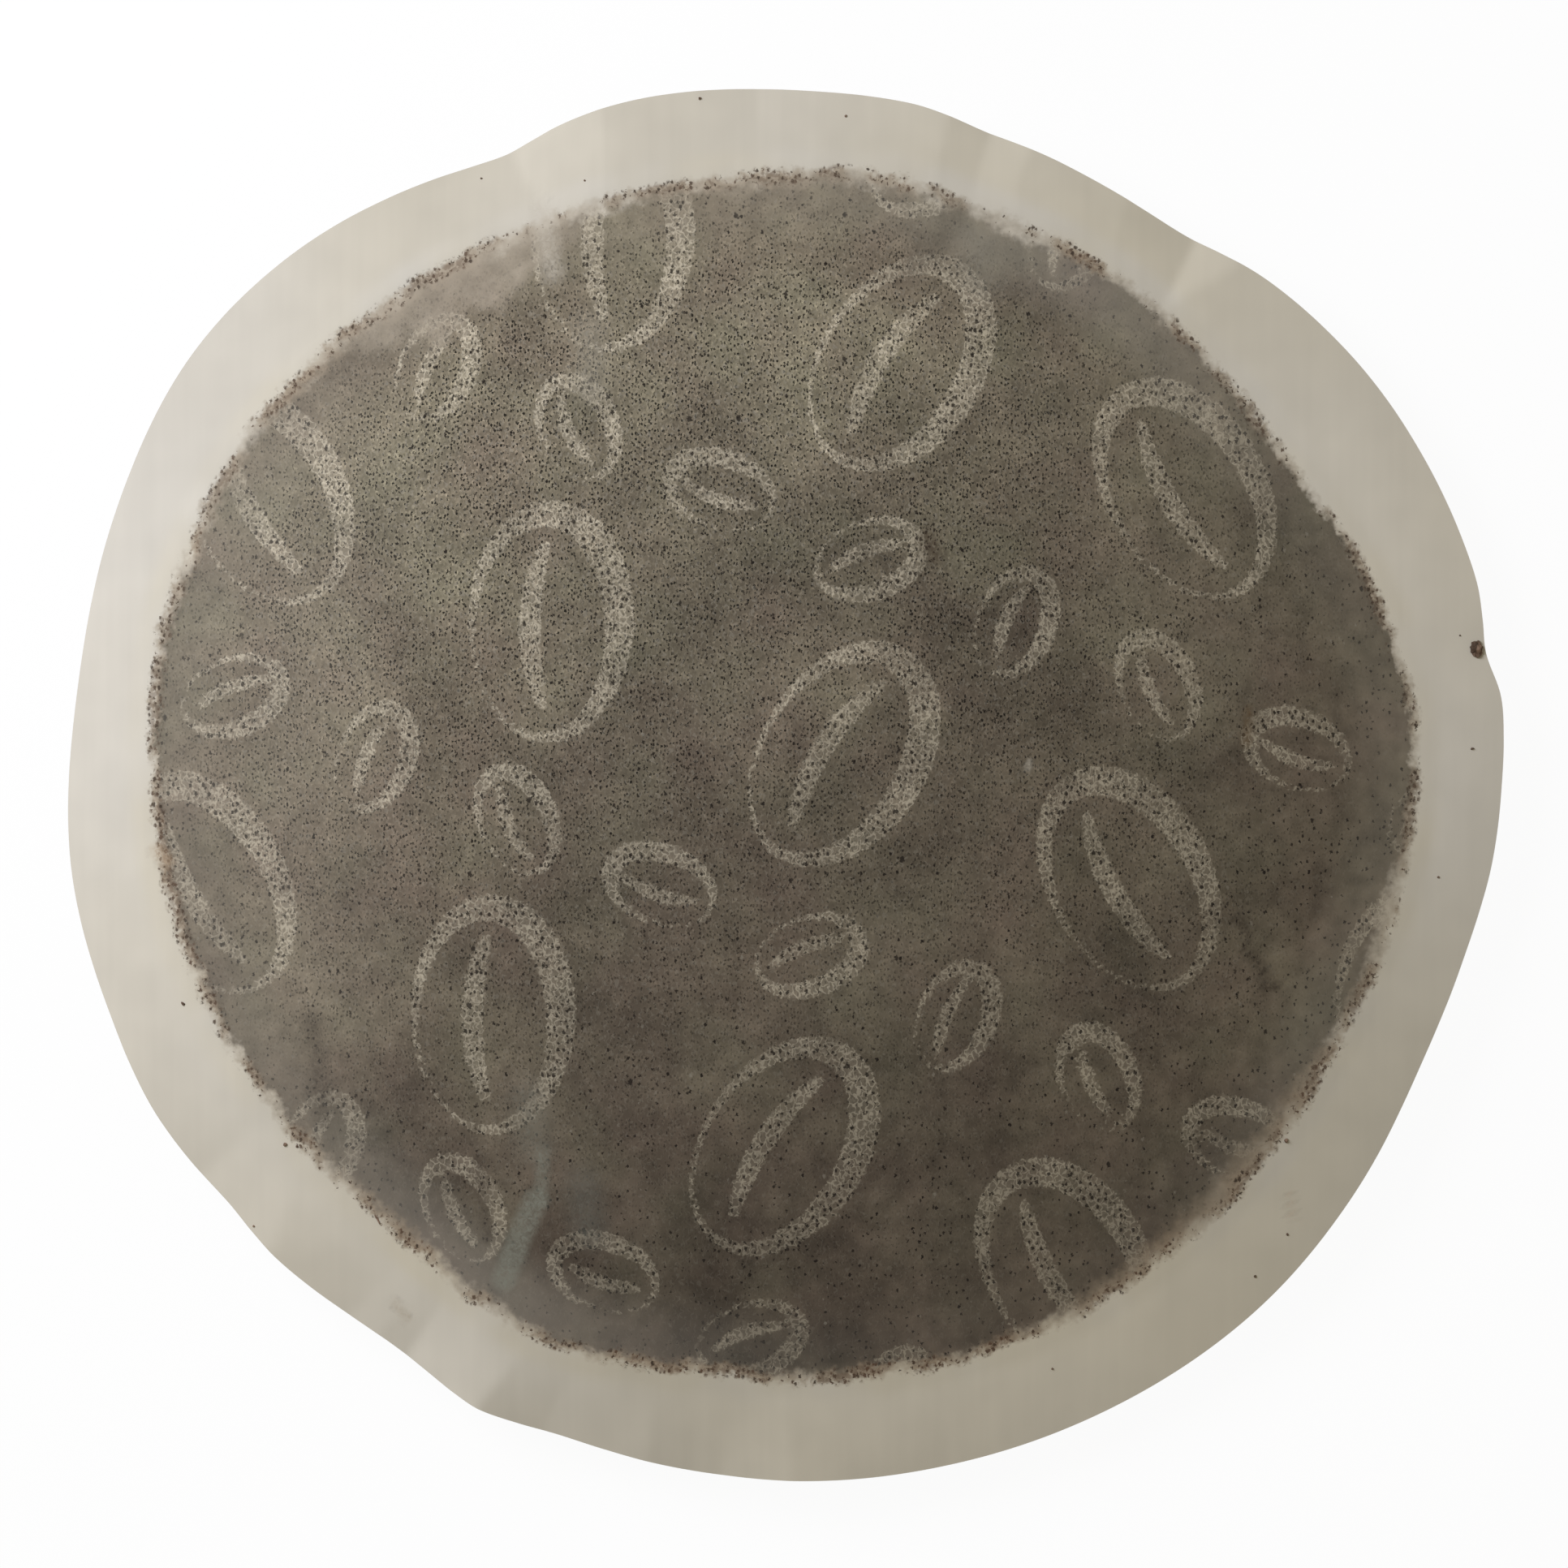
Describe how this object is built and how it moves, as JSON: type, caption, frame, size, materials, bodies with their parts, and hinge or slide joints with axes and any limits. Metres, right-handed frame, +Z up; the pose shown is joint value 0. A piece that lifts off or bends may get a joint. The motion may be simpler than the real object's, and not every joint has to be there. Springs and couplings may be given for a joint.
{
  "type": "coffee pod",
  "caption": "Soft round coffee pod: a cake of ground coffee heat-sealed between discs of filter paper with a crimped, wavy rim.",
  "frame": {"origin": "under the middle of the pod, at the height of the surface that its belly lies on", "axes": "+Z up through the pod, +X to the right and +Y to the top as it is seen from above"},
  "size_m": [0.0716, 0.0694, 0.0087],
  "materials": {
    "filter_paper": "unglazed, unbleached filter paper, matt and slightly translucent, with fine fibres",
    "ground_coffee": "medium-fine ground roast coffee, lightly pressed into a cake, matt"
  },
  "bodies": {
    "root": {"upper_paper": "filter_paper", "lower_paper": "filter_paper", "coffee_bed": "ground_coffee"}
  },
  "joints": []
}
